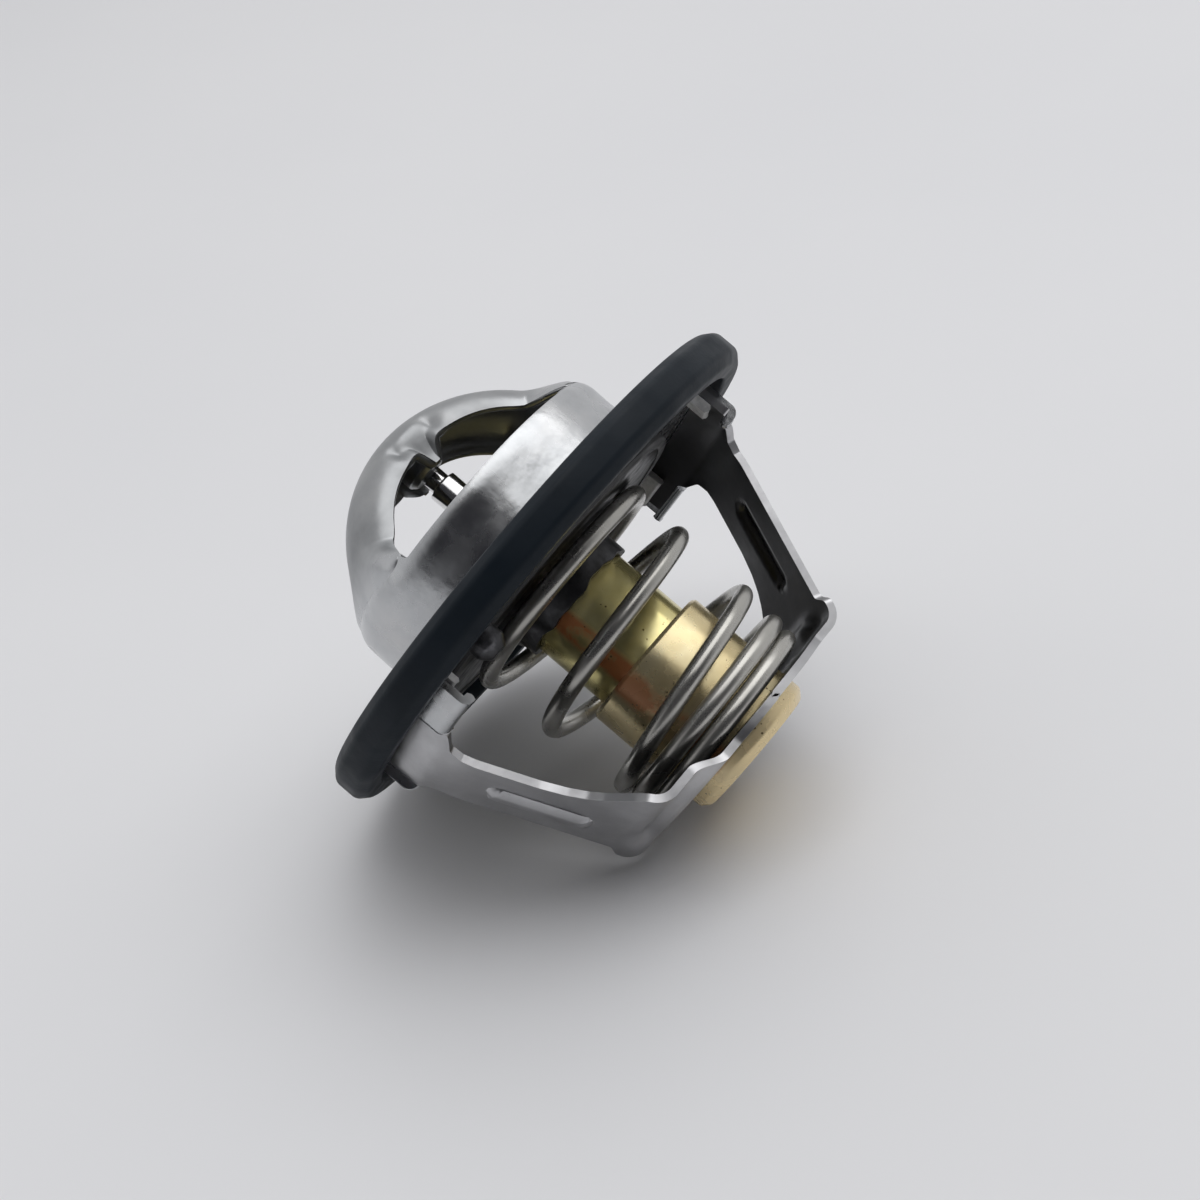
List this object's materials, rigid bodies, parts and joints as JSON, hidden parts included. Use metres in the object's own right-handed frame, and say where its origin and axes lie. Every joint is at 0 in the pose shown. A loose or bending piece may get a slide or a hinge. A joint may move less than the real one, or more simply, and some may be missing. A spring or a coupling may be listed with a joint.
{
  "type": "engine coolant thermostat",
  "caption": "Wax pellet coolant valve: round steel flange in a rubber gasket, arched bridge, sprung valve on a brass capsule, and a strap frame below.",
  "frame": {"origin": "on the thermostat's axis, at the middle of the flange sheet and of the gasket", "axes": "+Z along the axis, from the capsule towards the bridge; X through both legs of the lower frame"},
  "size_m": [0.056, 0.056, 0.0464],
  "materials": {
    "body_steel": "drawn stainless sheet, satin with handling marks",
    "gasket_rubber": "moulded blue-black rubber with a soft sheen",
    "frame_steel": "pressed stainless sheet with sheared edges",
    "pin_steel": "ground and polished",
    "valve_steel": "pressed steel, dull",
    "seal_rubber": "matte black",
    "guide_brass": "turned and bright",
    "ring_steel": "dark spring steel",
    "wiper_rubber": "matte black",
    "cup_brass": "drawn, satin with small pits",
    "boot_rubber": "matte black",
    "washer_plastic": "white",
    "wax": "copper-filled wax",
    "spring_steel": "bright drawn stainless wire",
    "jiggle_steel": "turned, bright"
  },
  "bodies": {
    "frame": {"upper_body": "body_steel", "gasket": "gasket_rubber", "lower_frame": "frame_steel", "piston_pin": "pin_steel", "main_spring": "spring_steel"},
    "valve": {"valve_disc": "valve_steel", "valve_seal": "seal_rubber", "guide": "guide_brass", "retaining_ring": "ring_steel", "wiper": "wiper_rubber", "wax_cup": "cup_brass", "boot": "boot_rubber", "backup_washer": "washer_plastic", "wax": "wax"},
    "jiggle_valve": {"jiggle_pin": "jiggle_steel", "jiggle_weight": "jiggle_steel"}
  },
  "joints": [
    {"name": "valve_lift", "type": "slide", "parent": "frame", "child": "valve", "axis": [0, 0, -1], "range_m": [0, 0.008], "stiffness_N_per_m": 6000, "springref_m": -0.012, "deforming": ["main_spring"]},
    {"name": "jiggle_lift", "type": "slide", "parent": "frame", "child": "jiggle_valve", "axis": [0, 0, 1], "range_m": [0, 0.001]}
  ]
}
